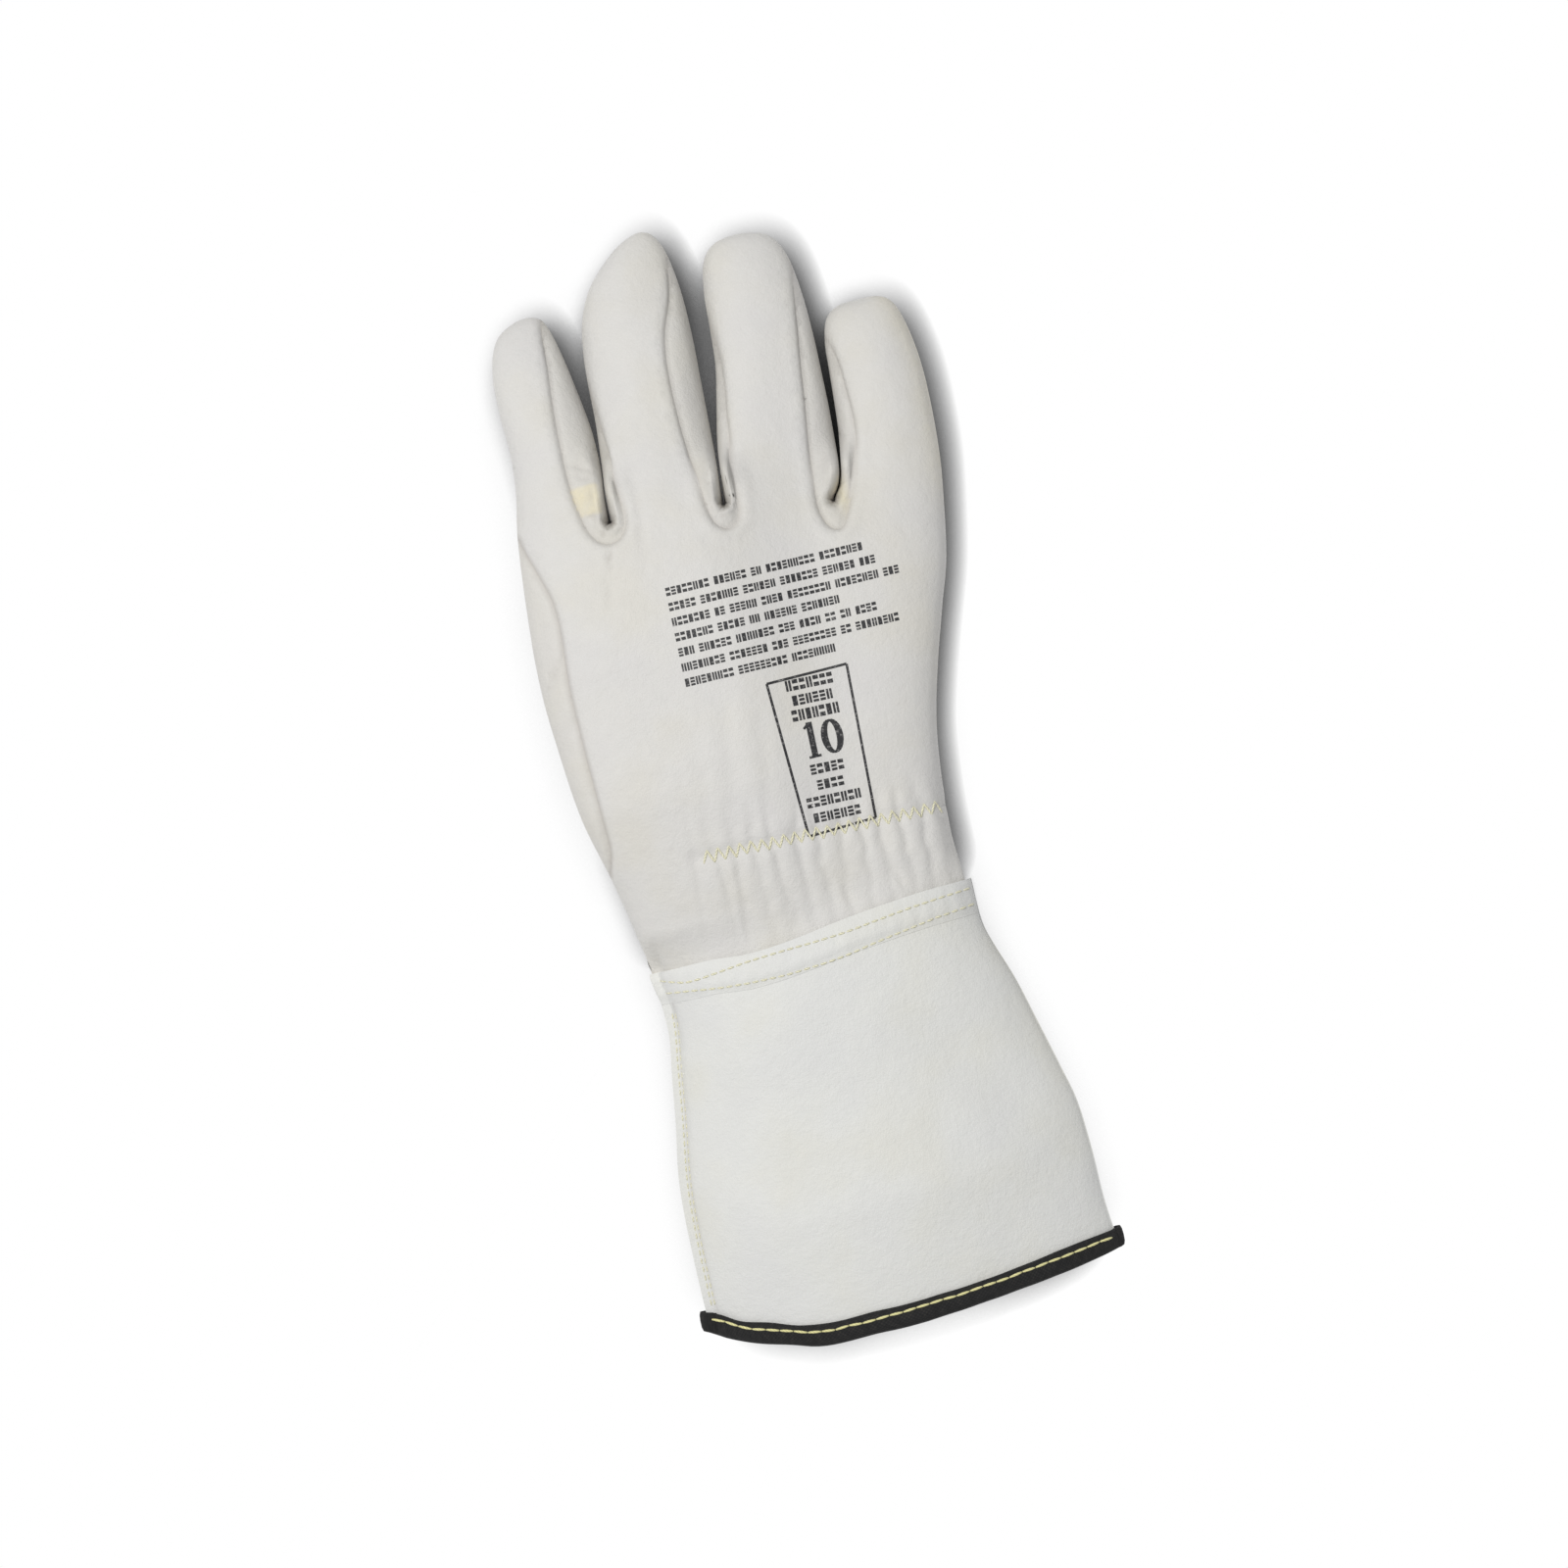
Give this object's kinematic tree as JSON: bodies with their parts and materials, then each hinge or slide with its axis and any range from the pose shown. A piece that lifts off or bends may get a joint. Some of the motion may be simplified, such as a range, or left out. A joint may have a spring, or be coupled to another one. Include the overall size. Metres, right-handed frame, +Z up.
{
  "type": "leather protector glove",
  "caption": "Right-hand leather protector glove with a long gauntlet cuff, worn over a rubber insulating glove for electrical work.",
  "frame": {"origin": "under the middle of the glove, on the surface it lies on", "axes": "+Y to the fingertips, +X to the little finger, +Z up out of the back of the hand"},
  "size_m": [0.1384, 0.3479, 0.0373],
  "materials": {
    "back_leather": "smooth off-white grain leather",
    "palm_leather": "smooth off-white grain leather",
    "wall_leather": "smooth off-white grain leather",
    "quirk_leather": "yellowish leather",
    "cuff_leather": "smooth off-white split leather",
    "binding": "woven black tape",
    "thread": "pale yellow sewing thread",
    "elastic": "covered elastic"
  },
  "bodies": {
    "hand": {"hand_back": "back_leather", "hand_palm": "palm_leather", "palm_heel": "palm_leather", "thumb_gusset": "wall_leather", "crotch_1": "quirk_leather", "crotch_2": "quirk_leather", "crotch_3": "quirk_leather", "wrist_elastic": "elastic", "wrist_zigzag": "thread"},
    "cuff": {"tail_back": "back_leather", "tail_palm": "palm_leather", "cuff_back": "cuff_leather", "cuff_palm": "cuff_leather", "cuff_hem": "cuff_leather", "binding": "binding", "binding_thread": "thread", "cuff_thread_high": "thread", "cuff_thread_low": "thread", "side_thread": "thread"},
    "thumb_lower": {"thumb_lower_back": "back_leather", "thumb_lower_front": "palm_leather"},
    "thumb_upper": {"thumb_upper_back": "back_leather", "thumb_upper_front": "palm_leather"},
    "index_lower": {"index_lower_back": "back_leather", "index_lower_front": "palm_leather", "index_lower_right_wall": "wall_leather"},
    "index_upper": {"index_upper_back": "back_leather", "index_upper_front": "palm_leather", "index_upper_right_wall": "wall_leather"},
    "middle_lower": {"middle_lower_back": "back_leather", "middle_lower_front": "palm_leather", "middle_lower_right_wall": "wall_leather", "middle_lower_left_wall": "wall_leather"},
    "middle_upper": {"middle_upper_back": "back_leather", "middle_upper_front": "palm_leather", "middle_upper_right_wall": "wall_leather", "middle_upper_left_wall": "wall_leather"},
    "ring_lower": {"ring_lower_back": "back_leather", "ring_lower_front": "palm_leather", "ring_lower_right_wall": "wall_leather", "ring_lower_left_wall": "wall_leather"},
    "ring_upper": {"ring_upper_back": "back_leather", "ring_upper_front": "palm_leather", "ring_upper_right_wall": "wall_leather", "ring_upper_left_wall": "wall_leather"},
    "pinky_lower": {"pinky_lower_back": "back_leather", "pinky_lower_front": "palm_leather", "pinky_lower_left_wall": "wall_leather"},
    "pinky_upper": {"pinky_upper_back": "back_leather", "pinky_upper_front": "palm_leather", "pinky_upper_left_wall": "wall_leather"}
  },
  "joints": [
    {"name": "wrist", "type": "hinge", "parent": "hand", "child": "cuff", "pos_m": [0, -0.033, 0.017], "axis": [1, 0, 0], "range_deg": [-30, 30]},
    {"name": "thumb_swing", "type": "hinge", "parent": "hand", "child": "thumb_lower", "pos_m": [-0.0598, -0.011, 0.0062], "axis": [0, 0, 1], "range_deg": [0, 45]},
    {"name": "thumb_tip", "type": "hinge", "parent": "thumb_lower", "child": "thumb_upper", "pos_m": [-0.04675, 0.028, 0.0056], "axis": [0, 0, 1], "range_deg": [-30, 10]},
    {"name": "index_knuckle", "type": "hinge", "parent": "hand", "child": "index_lower", "pos_m": [-0.0515, 0.089, 0.0176], "axis": [0.9999, 0.015, 0], "range_deg": [-70, 15]},
    {"name": "index_middle", "type": "hinge", "parent": "index_lower", "child": "index_upper", "pos_m": [-0.05197, 0.12, 0.01259], "axis": [0.9999, 0.015, 0], "range_deg": [-75, 0]},
    {"name": "middle_knuckle", "type": "hinge", "parent": "hand", "child": "middle_lower", "pos_m": [-0.0185, 0.09, 0.0172], "axis": [1, 0.0048, 0], "range_deg": [-70, 15]},
    {"name": "middle_middle", "type": "hinge", "parent": "middle_lower", "child": "middle_upper", "pos_m": [-0.01869, 0.129, 0.01239], "axis": [1, 0.0048, 0], "range_deg": [-75, 0]},
    {"name": "ring_knuckle", "type": "hinge", "parent": "hand", "child": "ring_lower", "pos_m": [0.0167, 0.086, 0.0106], "axis": [0.9984, -0.0566, 0], "range_deg": [-70, 15]},
    {"name": "ring_middle", "type": "hinge", "parent": "ring_lower", "child": "ring_upper", "pos_m": [0.01885, 0.12394, 0.00885], "axis": [0.9984, -0.0566, 0], "range_deg": [-75, 0]},
    {"name": "pinky_knuckle", "type": "hinge", "parent": "hand", "child": "pinky_lower", "pos_m": [0.0516, 0.082, 0.009], "axis": [1, -0.0017, 0], "range_deg": [-70, 15]},
    {"name": "pinky_middle", "type": "hinge", "parent": "pinky_lower", "child": "pinky_upper", "pos_m": [0.05165, 0.109, 0.008], "axis": [1, -0.0017, 0], "range_deg": [-75, 0]}
  ]
}
